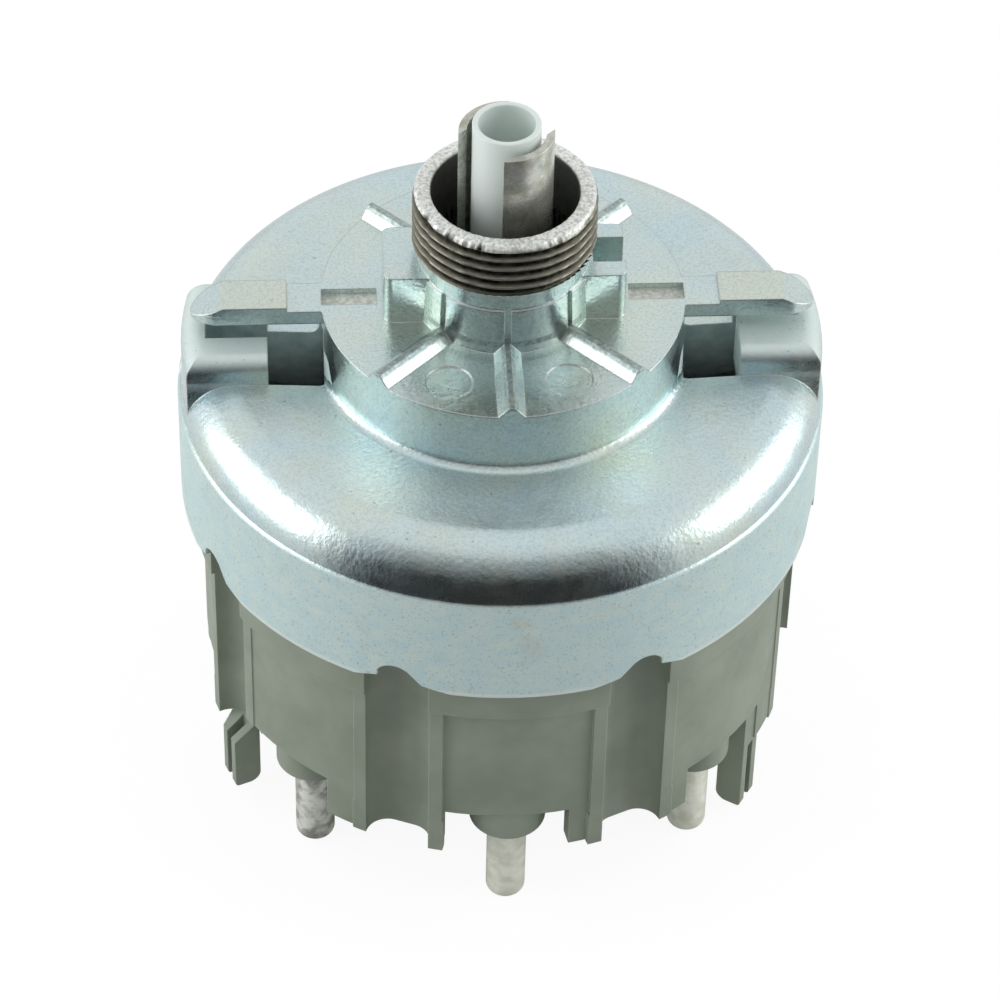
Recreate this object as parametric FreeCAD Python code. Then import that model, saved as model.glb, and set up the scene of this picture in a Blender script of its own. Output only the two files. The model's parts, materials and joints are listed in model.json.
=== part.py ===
import FreeCAD, Part
import math
import os

# Rotary headlight switch: a die-cast housing with a threaded neck, a fluted moulded base
# with eight contact pins, and a turning and pulling shaft with its contact gear inside.
# Millimetres. The axis of the shaft is Z, the switch stands on its pin tips at z = 0,
# and -Y is the front, where the skirt carries its marking.

V = FreeCAD.Vector

# Heights of the outside: the skirt's lower edge from the pin tips, the rest from that edge
skirt_z = 30.5
skirt_h = 11.0                     # plain band of the skirt
dome_dish = 0.4                    # how much lower the dome's top is at the hub
hub_h = 21.0
neck_step_h = 25.6                 # small ledge in the neck
thread_h = 27.2
collar_h = 32.9                    # rim of the threaded collar
panel_drop = 17.1                  # lower edge of the base's panels
leg_drop = 21.8                    # lower end of the legs and the flute walls
boss_drop = 20.9                   # lower end of the pin bosses
tab_drop = 29.3                    # lower end of the keying tabs

# Housing, a zinc casting
skirt_r = 28.67
band_step = 0.3                    # the skirt's band stands this proud of the wall above it
shoulder_r = 4.6                   # rounding between the wall and the top
wall = 1.8                         # skirt wall
roof = 1.9                         # thickness of the dome's top
hub_r = 15.95
hub_draft = 0.2                    # the hub is this much wider at its foot
hub_fillet = 0.8
hub_wall = 2.3
hub_roof = 2.5
neck_foot_r = 7.85
neck_mid_r = 7.62                  # below the ledge
neck_top_r = 7.45
thread_r = 8.0                     # M16 x 1
thread_chamfer = 0.4
collar_bore_r = 6.35
web_h = 23.0                       # top of the web that carries the rotor's journal

# Raised ribs on top of the hub, which bite into the panel, and the flutes above them
hub_rib_angles = (0.0, 45.0, 135.0, 180.0, 225.0, 315.0)
hub_rib_w = 2.35
hub_rib_top_w = 0.5
hub_rib_rise = 1.05
hub_rib_bury = 0.5                 # how far the ribs reach into the neck and the hub
neck_flute_deep = 0.25
neck_flute_w = 0.55
pocket_in = 11.0                   # pockets in the hub, where the arms leave no room for ribs
pocket_half = 1.02
pocket_depth = 0.6
pocket_rim = 0.1
block_reach = 10.5                 # blocks beside the neck
block_half = 3.45
block_h = 25.9
block_corner = 0.8
block_slot_half = 1.6
mark_r = 2.02                      # ejector marks
mark_circle = 12.4
mark_angle = 24.5
mark_depth = 0.12

# Mounting arms over their windows
arm_half = 1.9
arm_h = 21.45
arm_under_h = 19.6
arm_step = 18.85                   # where the arm rises above the hub's level
arm_slope = 24.4                   # where the arm's end starts to slope
arm_tip = 27.25
arm_tip_drop = 1.5
window_in = 15.7
window_out = 20.6
window_front = 5.1
channel_out = 26.0                 # narrow end of the window, under the arm
channel_front_left = 1.95
channel_front_right = 0.3
window_rib_t = 1.2                 # wall that hangs from the roof behind each window
window_rib_drop = 2.2              # below the roof's underside
pad_h = 18.2
pad_half = 5.2
pad_round = 1.3                    # rounding of the pad's long front edge
pad_edge = 1.8                     # rounding of its outer end
pad_out_r = 28.2
pad_bury = 0.6                     # how far the pad stays clear of the wall's inner face

# Arched notches in the skirt's edge, one over each flute, as distance from the flute's
# middle and height; the gentle side is the one towards the nearer of front and back
notch_start = (-3.5, 0.0)
notch_riser = (-1.3, 0.7)
notch_step = (-1.3, 1.3)
notch_crown = (0.1, 2.25)
notch_turn = (1.7, 1.6)
notch_knee = (2.7, 0.55)
notch_end = (5.2, 0.0)

# Base, a plastic moulding
base_inset = 1.37                  # panels stand back from the skirt by this
base_wall = 2.0
lip_h = 3.8                        # plain band under the skirt
lip_proud = 0.3
spigot_h = 5.0                     # part of the base inside the skirt
spigot_clear = 0.05
floor_h = 2.5
flute_w = 5.9
flute_depth = 2.4
flute_corner = 2.0
flute_wall = 1.3
flute_rise = 2.6                   # how far the flutes run up behind the skirt
rib_w = 1.2                        # rib beside each flute
panel_deep = 0.45                  # recess of the front, back and side panels
panel_shallow = 0.12               # recess of the panels between them
rib_tip = 0.25                     # wide legs end this much above the ribs beside them
boss_r = 3.45
boss_chamfer = 0.6

# Plan angle of each flute, then the widths of the legs on its side of smaller angles and on
# its side of larger angles; no leg where the width is zero
flutes = ((24.1, 3.05, 3.1), (74.5, 4.4, 0.0), (117.0, 1.2, 0.0), (158.0, 3.1, 3.1),
          (202.0, 3.1, 3.1), (247.0, 0.0, 1.2), (295.2, 1.2, 0.0), (338.4, 4.1, 1.2))

# Keying tabs under the base
tab_angles = (58.0, 199.0, 292.2)
tab_w = 2.7
tab_in = 2.8                       # inner and outer face, inwards from the panels' radius
tab_out = 0.3
tab_round_in = 1.1
tab_round_out = 0.35

# Contact pins and the strips they are riveted to
pin_r = 1.78
pin_seat_r = 2.0                   # the pin's thicker length inside its boss
pin_seat_rise = 0.05               # the seat starts this far inside the boss
pin_round = 0.8
pin_inset = 3.95                   # of the pins' circle, from the panels' radius
pin_angles = (0.0, 47.4, 90.0, 132.6, 180.0, 227.4, 270.0, 312.6)
pin_clear = 0.02
rivet_neck_r = 1.2
rivet_head_r = 2.0
rivet_head_h = 0.7
strip_t = 0.8
strip_w = 4.4
strip_past = 2.5                   # inwards past the bridges' toes

# Shaft, a split metal tube, with the light tube inside it
shaft_r = 4.1
shaft_wall = 0.7
shaft_h = 39.2                     # tips of the prongs, from the skirt's edge
shaft_foot_h = 8.1                 # lower end, from the base's floor
prong_slot_w = 5.3
prong_slot_angle = -46.8           # plan angle of the slot, from the front towards +X
prong_slot_h = 27.0
tube_r = 2.95
tube_wall = 0.5
tube_h = 40.1
tube_foot_h = 11.0                 # from the shaft's foot
tube_flange_h = 2.0
slide_clear = 0.03
pull_travel = 6.0
drive_pin_r = 0.9
drive_pin_h = 8.0                  # from the shaft's foot
drive_pin_gap = 0.4                # between the pin's end and the rotor's outside

# Plunger in the shaft's foot, with its contact ring and the two fixed blades
plunger_r = 2.9
plunger_gap = 1.0                  # between the plunger and the base's floor
plunger_top_h = 6.5                # from the shaft's foot
plunger_collar_h = 0.75
plunger_chamfer = 0.4
ring_wall = 0.5
ring_foot_h = 2.1                  # from the base's floor
ring_h = 2.5
blade_t = 0.4
blade_w = 2.4
blade_gap = 0.05
blade_h = 5.6

# Rotor: spindle, flange and journal moulded in one
rotor_bore_clear = 0.06
spindle_r = 6.0
spindle_gap = 1.1                  # between the spindle and the base's floor
spindle_clear = 0.06
stem_r = 7.0                       # stem above the carrier
flange_r = 13.3
flange_drop = 4.5                  # flange's underside, below the hub's roof
flange_h = 2.9
flange_boss_h = 0.8
flange_boss_r = 8.5
journal_r = 5.35
journal_clear = 0.05
journal_drop = 0.5                 # from the web's top down to the journal's end
socket_wall = 1.6
socket_h = 5.1
key_w = 1.6
key_out = 0.8
key_clear = 0.05

# Detent: notched ring under the hub's roof, two balls and a leaf spring in the rotor
washer_clear = 0.05
ring_clear = 0.05
detent_in_r = 9.6
detent_h = 1.25
detent_notches = 12
detent_notch_deep = 0.55
ball_r = 1.5
ball_circle = 11.6
ball_clear = 0.06
ball_count = 2
leaf_t = 0.4
leaf_gap = 0.05
leaf_ring_w = 1.9
leaf_arm_w = 3.0
dimple_r = 1.0

# Contact carrier on the spindle, with its bridges
carrier_rise = 7.1                 # carrier's underside, from the base's floor
carrier_h = 3.0
carrier_r = 19.5
clip_h = 0.7
clip_gap = 0.05
clip_groove = 0.5
clip_w = 1.9
clip_opening = 2.4
bridge_count = 3
bridge_start = 15.0                # plan angle of the first bridge
bridge_t = 0.45
bridge_w = 3.6
bridge_in = 9.5
bridge_bend = 13.3
bridge_tip = 18.0
bridge_toe = 0.9
bridge_lift = 0.15                 # running gap over the strips
bridge_rivet_r = 0.9
bridge_rivet_head = 1.6
bridge_rivet_head_h = 0.45
bridge_rivet_at = 11.4

# Sizes that follow from the ones above
hub_top_z = skirt_z + hub_h
neck_step_z = skirt_z + neck_step_h
thread_z = skirt_z + thread_h
collar_z = skirt_z + collar_h
web_top_z = skirt_z + web_h
block_top_z = skirt_z + block_h
arm_top_z = skirt_z + arm_h
arm_under_z = skirt_z + arm_under_h
pad_top_z = skirt_z + pad_h
panel_z = skirt_z - panel_drop
leg_z = skirt_z - leg_drop
boss_z = skirt_z - boss_drop
tab_z = skirt_z - tab_drop
shaft_top_z = skirt_z + shaft_h
prong_slot_z = skirt_z + prong_slot_h
tube_top_z = skirt_z + tube_h
band_top_z = skirt_z + skirt_h
dome_z = band_top_z + shoulder_r
roof_z = dome_z - dome_dish - roof     # underside of the dome's top
upper_r = skirt_r - band_step
upper_in_r = upper_r - wall
skirt_in_r = skirt_r - wall
inner_round = shoulder_r - wall
hub_in_r = hub_r - hub_wall
hub_roof_z = hub_top_z - hub_roof
base_r = skirt_r - base_inset
base_in_r = base_r - base_wall
tab_in_r = base_r - tab_in
tab_out_r = base_r - tab_out
pin_circle = base_r - pin_inset
floor_top_z = panel_z + floor_h
strip_top_z = floor_top_z + strip_t
strip_in = bridge_tip - strip_past
spindle_foot_z = floor_top_z + spindle_gap
socket_top_z = floor_top_z + socket_h
plunger_foot_z = floor_top_z + plunger_gap
ring_z = floor_top_z + ring_foot_h
blade_top_z = floor_top_z + blade_h
carrier_z = floor_top_z + carrier_rise
shaft_foot_z = floor_top_z + shaft_foot_h
plunger_top_z = shaft_foot_z + plunger_top_h
drive_pin_z = shaft_foot_z + drive_pin_h
tube_foot_z = shaft_foot_z + tube_foot_h
shaft_in_r = shaft_r - shaft_wall
rotor_bore_r = shaft_r + rotor_bore_clear
journal_top_z = web_top_z - journal_drop
flange_z = hub_roof_z - flange_drop
flange_top_z = flange_z + flange_h
flute_half_angle = math.degrees(math.asin(flute_w / 2 / base_r))
half_root = math.sqrt(0.5)


def plan(angle, radius, z=0.0):
    """Point at a plan angle counted from the front (-Y) towards the right (+X)."""
    a = math.radians(angle)
    return V(radius * math.sin(a), -radius * math.cos(a), z)


def turned(shape, angle):
    """Shape modelled towards the front, turned about Z to a plan angle."""
    out = shape.copy()
    out.rotate(V(0, 0, 0), V(0, 0, 1), angle)
    return out


def cylinder(r, z0, z1, x=0.0, y=0.0):
    return Part.makeCylinder(r, z1 - z0, V(x, y, z0))


def tube(r_out, r_in, z0, z1):
    return cylinder(r_out, z0, z1).cut(cylinder(r_in, z0 - 1, z1 + 1))


def box(x0, x1, y0, y1, z0, z1):
    return Part.makeBox(x1 - x0, y1 - y0, z1 - z0, V(x0, y0, z0))


def revolved(path):
    """Solid of revolution of a closed path of (r, z) points; a list of two points is an arc."""
    edges = []
    start = V(path[0][0], 0, path[0][1])
    here = start
    for step in path[1:] + [path[0]]:
        if isinstance(step, list):
            mid = V(step[0][0], 0, step[0][1])
            end = V(step[1][0], 0, step[1][1])
            edges.append(Part.Arc(here, mid, end).toShape())
        else:
            end = V(step[0], 0, step[1])
            if (end - here).Length > 1e-6:
                edges.append(Part.makeLine(here, end))
        here = end
    face = Part.Face(Part.Wire(edges))
    return face.revolve(V(0, 0, 0), V(0, 0, 1), 360)


def prism(points, z0, z1):
    """Straight-sided solid over a closed plan polygon."""
    wire = Part.makePolygon([V(x, y, z0) for x, y in points + points[:1]])
    return Part.Face(wire).extrude(V(0, 0, z1 - z0))


def across(section, width):
    """Solid of a closed (radius, z) section facing the front, spread evenly over X."""
    points = [V(-width / 2, -r, z) for r, z in section + section[:1]]
    return Part.Face(Part.makePolygon(points)).extrude(V(width, 0, 0))


def sector(r_in, r_out, angle0, angle1, z0, z1):
    """Part of a ring between two plan angles."""
    ring = tube(r_out, r_in, z0, z1)
    reach = r_out * 1.5
    middle = (angle0 + angle1) / 2
    corners = [V(0, 0, 0), plan(angle0, reach), plan(middle, reach), plan(angle1, reach)]
    return ring.common(prism([(p.x, p.y) for p in corners], z0 - 1, z1 + 1))


def both_sides(shape):
    """Shape and its mirror image across the YZ plane."""
    return [shape, shape.mirror(V(0, 0, 0), V(1, 0, 0))]


def fused(first, others):
    out = first.fuse(others)
    return out.removeSplitter()


def cone(r0, r1, z0, z1, x=0.0, y=0.0):
    return Part.makeCone(r0, r1, z1 - z0, V(x, y, z0))


def wire_face(points):
    """Flat face over a closed path of points; a list of two points is an arc."""
    edges = []
    here = points[0]
    for step in points[1:] + [points[0]]:
        if isinstance(step, list):
            edges.append(Part.Arc(here, step[0], step[1]).toShape())
            here = step[1]
        else:
            edges.append(Part.makeLine(here, step))
            here = step
    return Part.Face(Part.Wire(edges))


def pin_nodes():
    return [("%d" % (i + 1), a) for i, a in enumerate(pin_angles)]


# Housing

def housing_shell():
    """Turned form of the casting: skirt, dome, hub, neck and collar, hollow below."""
    arc_r = upper_r - shoulder_r
    foot_r = hub_r + hub_draft
    foot_z = dome_z - dome_dish
    turn = 1 - half_root
    inner_arc_r = upper_in_r - inner_round
    inner_arc_z = roof_z - inner_round
    return revolved([
        (skirt_in_r, skirt_z),
        (skirt_r, skirt_z),
        (skirt_r, band_top_z - band_step),
        (upper_r, band_top_z),
        [(arc_r + shoulder_r * half_root, band_top_z + shoulder_r * half_root), (arc_r, dome_z)],
        (foot_r + hub_fillet, foot_z),
        [(foot_r + hub_fillet * turn, foot_z + hub_fillet * turn), (foot_r, foot_z + hub_fillet)],
        (hub_r, hub_top_z),
        (neck_foot_r, hub_top_z),
        (neck_mid_r, neck_step_z),
        (neck_top_r, neck_step_z),
        (neck_top_r, thread_z),
        (thread_r, thread_z + (thread_r - neck_top_r)),
        (thread_r, collar_z - thread_chamfer),
        (thread_r - thread_chamfer, collar_z),
        (collar_bore_r, collar_z),
        (collar_bore_r, web_top_z),
        (journal_r + journal_clear, web_top_z),
        (journal_r + journal_clear, hub_roof_z),
        (hub_in_r, hub_roof_z),
        (hub_in_r, roof_z),
        (inner_arc_r, roof_z),
        [(inner_arc_r + inner_round * half_root, inner_arc_z + inner_round * half_root),
         (upper_in_r, inner_arc_z)],
        (skirt_in_r, inner_arc_z - (upper_in_r - skirt_in_r) - 0.5),
    ])


def arm():
    """Right-hand mounting arm: a flat bar with a raised outer length and a sloping end."""
    root = hub_r - 1.5
    tip = Part.BSplineCurve()
    tip.interpolate([V(arm_slope + 0.7, -arm_half, 0), V(arm_tip - 0.7, -arm_half * 0.68, 0),
                     V(arm_tip, -arm_half * 0.2, 0), V(arm_tip - 0.25, arm_half * 0.4, 0),
                     V(arm_tip - 1.1, arm_half * 0.84, 0), V(arm_slope + 0.2, arm_half, 0)])
    start = tip.StartPoint
    end = tip.EndPoint
    wire = Part.Wire([Part.makeLine(V(root, -arm_half, 0), start), tip.toShape(),
                      Part.makeLine(end, V(root, arm_half, 0)),
                      Part.makeLine(V(root, arm_half, 0), V(root, -arm_half, 0))])
    bar = Part.Face(wire).extrude(V(0, 0, arm_top_z - arm_under_z))
    bar.translate(V(0, 0, arm_under_z))
    inner = box(root - 1, arm_step, -arm_half - 1, arm_half + 1, hub_top_z, arm_top_z + 1)
    past = (arm_tip - arm_slope) * 1.3
    drop = arm_tip_drop * 1.3
    side = -arm_half - 1
    slope = Part.makePolygon([V(arm_slope, side, arm_top_z), V(arm_slope + past, side, arm_top_z - drop),
                              V(arm_slope + past, side, arm_top_z + 1), V(arm_slope, side, arm_top_z + 1),
                              V(arm_slope, side, arm_top_z)])
    slope = Part.Face(slope).extrude(V(0, 2 * arm_half + 2, 0))
    return bar.cut(inner).cut(slope)


def hollow(grow):
    """Space under the dome's roof, grown into the wall."""
    arc_r = upper_in_r - inner_round
    arc_z = roof_z - inner_round
    reach = inner_round + grow
    return revolved([(0, skirt_z), (arc_r + reach, skirt_z), (arc_r + reach, arc_z),
                     [(arc_r + reach * half_root, arc_z + reach * half_root), (arc_r, arc_z + reach)],
                     (0, arc_z + reach)])


def pad():
    """Raised pad under the arm's outer end: rounded in front and outside, crisp behind."""
    foot = band_top_z + pad_bury
    body = box(window_out, pad_out_r + 1, -pad_half, pad_half, foot, pad_top_z)
    front = [e for e in body.Edges
             if abs(e.BoundBox.ZMin - pad_top_z) < 1e-6 and abs(e.BoundBox.YMax + pad_half) < 1e-6]
    body = body.makeFillet(pad_round, front)
    arc_r = pad_out_r - pad_edge
    arc_z = pad_top_z - pad_edge
    limit = revolved([(0, skirt_z), (pad_out_r, skirt_z), (pad_out_r, arc_z),
                      [(arc_r + pad_edge * half_root, arc_z + pad_edge * half_root), (arc_r, pad_top_z)],
                      (0, pad_top_z)])
    return body.common(limit).cut(hollow(pad_bury))


def window(channel_front):
    """Opening under the right arm: wide beside the hub, narrow below the arm's outer length."""
    low = roof_z - inner_round
    wide = box(window_in, window_out, -window_front, arm_half, low, arm_under_z)
    narrow = box(window_in + 1, channel_out, -channel_front, arm_half, low, arm_under_z)
    return wide.fuse(narrow).removeSplitter()


def window_rib():
    """Wall behind the right window, from the roof down into the hollow."""
    body = box(window_in, channel_out + wall, arm_half, arm_half + window_rib_t,
               roof_z - window_rib_drop, roof_z + roof / 2)
    return body.common(hollow(pad_bury))


def block():
    """Right-hand block beside the neck, its outer corners rounded."""
    body = box(neck_top_r - 2, block_reach, -block_half, block_half, hub_top_z - 0.5, block_top_z)
    corners = [e for e in body.Edges
               if e.BoundBox.ZLength > 1 and abs(e.BoundBox.XMax - block_reach) < 1e-6]
    body = body.makeFillet(block_corner, corners)
    return body.cut(cylinder(collar_bore_r + 0.3, hub_top_z - 1, block_top_z + 1))


def hub_ribs():
    """Raised radial ribs on the hub's top, running from the neck to the hub's wall."""
    foot = hub_rib_w / 2
    crest = hub_rib_top_w / 2
    start = neck_foot_r - hub_rib_bury
    low = hub_top_z - hub_rib_bury
    points = [V(-foot, -start, low), V(foot, -start, low), V(foot, -start, hub_top_z),
              V(crest, -start, hub_top_z + hub_rib_rise), V(-crest, -start, hub_top_z + hub_rib_rise),
              V(-foot, -start, hub_top_z)]
    bar = wire_face(points).extrude(V(0, -hub_r, 0))
    bar = bar.common(cylinder(hub_r, low - 1, hub_top_z + 2))
    return [turned(bar, angle) for angle in hub_rib_angles]


def neck_flutes():
    """Narrow flutes up the neck, one above each rib of the hub."""
    half = neck_flute_w / 2
    cutter = box(-half, half, -neck_foot_r - 1, -neck_mid_r + neck_flute_deep,
                 hub_top_z + hub_rib_rise, neck_step_z)
    return [turned(cutter, angle) for angle in hub_rib_angles]


def skirt_notches():
    """Arched notches over the flutes, steeper on the side away from the front and back."""
    out = []
    under = -0.3
    for angle, left, right in flutes:
        toward = -1 if math.sin(math.radians(2 * angle)) > 0 else 1
        knots = [V(t * toward, 0, h) for t, h in (notch_start, notch_riser, notch_step, notch_crown,
                                                  notch_turn, notch_knee, notch_end)]
        end = V(knots[6].x, 0, under)
        start = V(knots[0].x, 0, under)
        face = wire_face([knots[0], knots[1], knots[2], [knots[3], knots[4]], knots[5], knots[6], end, start])
        cutter = face.extrude(V(0, wall + 3, 0))
        cutter.translate(V(0, -skirt_r - 1, skirt_z))
        out.append(turned(cutter, angle))
    return out


def make_housing():
    shell = housing_shell()
    solids = both_sides(pad()) + both_sides(arm()) + both_sides(block()) + both_sides(window_rib())
    body = fused(shell, solids + hub_ribs())
    cuts = neck_flutes()
    cuts.append(window(channel_front_right))
    cuts.append(both_sides(window(channel_front_left))[1])
    pocket = box(pocket_in, hub_r - pocket_rim, -pocket_half, pocket_half,
                 hub_top_z - pocket_depth, hub_top_z + 1)
    cuts += both_sides(pocket)
    cuts.append(box(neck_foot_r - 0.2, block_reach + 1, -block_slot_half, block_slot_half,
                    hub_top_z, block_top_z + 1))
    for side in (-1, 1):
        centre = plan(side * mark_angle, mark_circle)
        cuts.append(cylinder(mark_r, hub_top_z - mark_depth, hub_top_z + 1, centre.x, centre.y))
    cuts += skirt_notches()
    return body.cut(cuts)


# Base

def flute_plan(grow, z0, z1):
    """U-shaped flute facing the front, grown outwards by the thickness of its wall."""
    half = flute_w / 2 + grow
    back = base_r - flute_depth - grow
    bend = flute_corner + grow
    out = base_r + 3
    turn = bend * (1 - half_root)
    return wire_face([V(-half, -out, z0), V(-half, -back - bend, z0),
                      [V(-half + turn, -back - turn, z0), V(-half + bend, -back, z0)],
                      V(half - bend, -back, z0),
                      [V(half - turn, -back - turn, z0), V(half, -back - bend, z0)],
                      V(half, -out, z0)]).extrude(V(0, 0, z1 - z0))


def flute_wall_below(left, right):
    """Wall of a flute below the panels, left away beyond a tab's width where there is no leg."""
    wall_u = flute_plan(flute_wall, leg_z, panel_z + 1).common(cylinder(base_r, leg_z, panel_z + 1))
    reach = flute_w / 2 + flute_wall + 1
    inner = base_r - flute_depth - flute_wall - 1
    for side, width in ((-1, left), (1, right)):
        if width == 0:
            x0, x1 = sorted((side * tab_w / 2, side * reach))
            wall_u = wall_u.cut(box(x0, x1, -base_r - 1, -inner, leg_z - 1, panel_z))
    return wall_u


def leg(angle, side, width, low, radius):
    """Leg beside a flute, on the wall's line; side is -1 for its left edge and 1 for its right."""
    edge = angle + side * flute_half_angle
    span = math.degrees(width / base_r) * side
    a0, a1 = sorted((edge, edge + span))
    return sector(base_in_r, radius, a0, a1, low, panel_z + 1)


def panel_depth(index):
    """Recess of the panel that follows a flute."""
    return panel_shallow if index % 2 == 0 else panel_deep


def legs(index):
    """The ribs' lower lengths beside a flute, with the wide plates that carry the recess on down."""
    angle, left, right = flutes[index]
    out = []
    for side, width in ((-1, left), (1, right)):
        depth = panel_depth(index if side == 1 else index - 1)
        if width > 0:
            out.append(leg(angle, side, rib_w, leg_z, base_r))
        if width > rib_w:
            out.append(leg(angle, side, width, leg_z + rib_tip, base_r - depth))
    return out


def panel_recesses():
    """Shallow recess in each panel, between the ribs and below the lip."""
    rib_angle = math.degrees(rib_w / base_r)
    out = []
    for i in range(len(flutes)):
        following = flutes[(i + 1) % len(flutes)][0]
        if i + 1 == len(flutes):
            following += 360
        start = flutes[i][0] + flute_half_angle + rib_angle
        end = following - flute_half_angle - rib_angle
        out.append(sector(base_r - panel_depth(i), base_r + 2, start, end, panel_z - 1, skirt_z - lip_h))
    return out


def keying_tab(angle):
    """Tab that hangs below the legs, its lower corners rounded."""
    body = box(-tab_w / 2, tab_w / 2, -tab_out_r, -tab_in_r, tab_z, panel_z + 1)
    for r, size in ((tab_in_r, tab_round_in), (tab_out_r, tab_round_out)):
        edge = [e for e in body.Edges
                if abs(e.BoundBox.ZMax - tab_z) < 1e-6 and abs(e.BoundBox.YMin + r) < 1e-6
                and abs(e.BoundBox.YMax + r) < 1e-6]
        body = body.makeFillet(size, edge)
    return turned(body, angle)


def pin_boss(angle):
    p = plan(angle, pin_circle)
    end = cone(boss_r - boss_chamfer, boss_r, boss_z, boss_z + boss_chamfer, p.x, p.y)
    return end.fuse(cylinder(boss_r, boss_z + boss_chamfer, floor_top_z, p.x, p.y)).removeSplitter()


def make_base():
    """Moulding with its spigot, lip, panels, flutes, legs, pin bosses and the spindle's socket."""
    spigot_r = skirt_in_r - spigot_clear
    top = skirt_z + spigot_h
    body = cylinder(base_r, panel_z, skirt_z)
    body = body.fuse([cylinder(base_r + lip_proud, skirt_z - lip_h, skirt_z),
                      cylinder(spigot_r, skirt_z - 0.5, top)])
    body = body.cut(cylinder(base_in_r, floor_top_z, top + 1))
    flute_top = skirt_z + flute_rise
    limit = cylinder(base_r, panel_z, skirt_z - lip_h)
    limit = limit.fuse(cylinder(spigot_r, skirt_z - lip_h, flute_top + flute_wall))
    adds = []
    cuts = []
    for i, (angle, left, right) in enumerate(flutes):
        ring = flute_plan(flute_wall, panel_z, flute_top + flute_wall).common(limit)
        adds.append(turned(ring, angle))
        adds.append(turned(flute_wall_below(left, right), angle))
        adds += legs(i)
        cuts.append(turned(flute_plan(0.0, leg_z, flute_top), angle))
    for angle in tab_angles:
        adds.append(keying_tab(angle))
    body = fused(body, adds)
    body = body.cut(panel_recesses() + cuts)
    bosses = [pin_boss(angle) for angle in pin_angles]
    socket_r = spindle_r + spindle_clear
    bosses.append(tube(socket_r + socket_wall, socket_r, floor_top_z - 0.5, socket_top_z))
    body = fused(body, bosses)
    holes = []
    for angle in pin_angles:
        p = plan(angle, pin_circle)
        holes.append(cylinder(pin_seat_r + pin_clear, boss_z - 1, floor_top_z + 1, p.x, p.y))
    return body.cut(holes)


# Contact pins and strips

def make_pin(angle):
    """Turned pin with a rounded end below, a thicker seat in its boss and a rivet head on top."""
    head_z = strip_top_z + rivet_head_h
    seat_z = boss_z + pin_seat_rise
    pin = revolved([(0, 0), (pin_r - pin_round, 0), (pin_r - pin_round * 0.3, pin_round * 0.3),
                    (pin_r, pin_round), (pin_r, seat_z), (pin_seat_r, seat_z),
                    (pin_seat_r, floor_top_z), (rivet_neck_r, floor_top_z), (rivet_neck_r, strip_top_z),
                    (rivet_head_r, strip_top_z), (rivet_head_r * 0.75, head_z), (0, head_z)])
    pin.translate(plan(angle, pin_circle))
    return pin


def make_strip(angle):
    """Flat contact strip from its pin inwards to where the bridges run."""
    outer = cylinder(strip_w / 2, floor_top_z, strip_top_z, 0, -pin_circle)
    bar = box(-strip_w / 2, strip_w / 2, -pin_circle, -strip_in, floor_top_z, strip_top_z)
    limit = cylinder(base_in_r - spigot_clear, floor_top_z, strip_top_z)
    hole = cylinder(rivet_neck_r + pin_clear, floor_top_z - 1, strip_top_z + 1, 0, -pin_circle)
    return turned(bar.fuse(outer).removeSplitter().common(limit).cut(hole), angle)


# Shaft group

def make_shaft():
    """Metal tube, split at the top into two prongs and cross-drilled for the drive pin."""
    body = tube(shaft_r, shaft_in_r, shaft_foot_z, shaft_top_z)
    half = prong_slot_w / 2
    slot = box(-half, half, -shaft_r - 1, shaft_r + 1, prong_slot_z, shaft_top_z + 1)
    body = body.cut(turned(slot, prong_slot_angle))
    hole = Part.makeCylinder(drive_pin_r + pin_clear, 2 * shaft_r + 2,
                             V(-shaft_r - 1, 0, drive_pin_z), V(1, 0, 0))
    return body.cut(hole)


def make_light_tube():
    inner = tube_r - tube_wall
    foot = shaft_in_r - slide_clear
    return revolved([(inner, tube_foot_z), (foot, tube_foot_z), (foot, tube_foot_z + tube_flange_h),
                     (tube_r, tube_foot_z + tube_flange_h), (tube_r, tube_top_z), (inner, tube_top_z)])


def make_drive_pin():
    length = 2 * (stem_r - drive_pin_gap)
    return Part.makeCylinder(drive_pin_r, length, V(-length / 2, 0, drive_pin_z), V(1, 0, 0))


def make_plunger():
    collar_z0 = shaft_foot_z - plunger_collar_h
    inner = shaft_in_r - slide_clear
    return revolved([(0, plunger_foot_z), (plunger_r - plunger_chamfer, plunger_foot_z),
                     (plunger_r, plunger_foot_z + plunger_chamfer), (plunger_r, collar_z0),
                     (shaft_r, collar_z0), (shaft_r, shaft_foot_z), (inner, shaft_foot_z),
                     (inner, plunger_top_z), (0, plunger_top_z)])


def make_plunger_ring():
    return tube(plunger_r + slide_clear + ring_wall, plunger_r + slide_clear, ring_z, ring_z + ring_h)


def make_blade(side):
    inner = plunger_r + slide_clear + ring_wall + blade_gap
    body = box(inner, inner + blade_t, -blade_w / 2, blade_w / 2, floor_top_z, blade_top_z)
    return body if side > 0 else both_sides(body)[1]


# Rotor group

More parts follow.
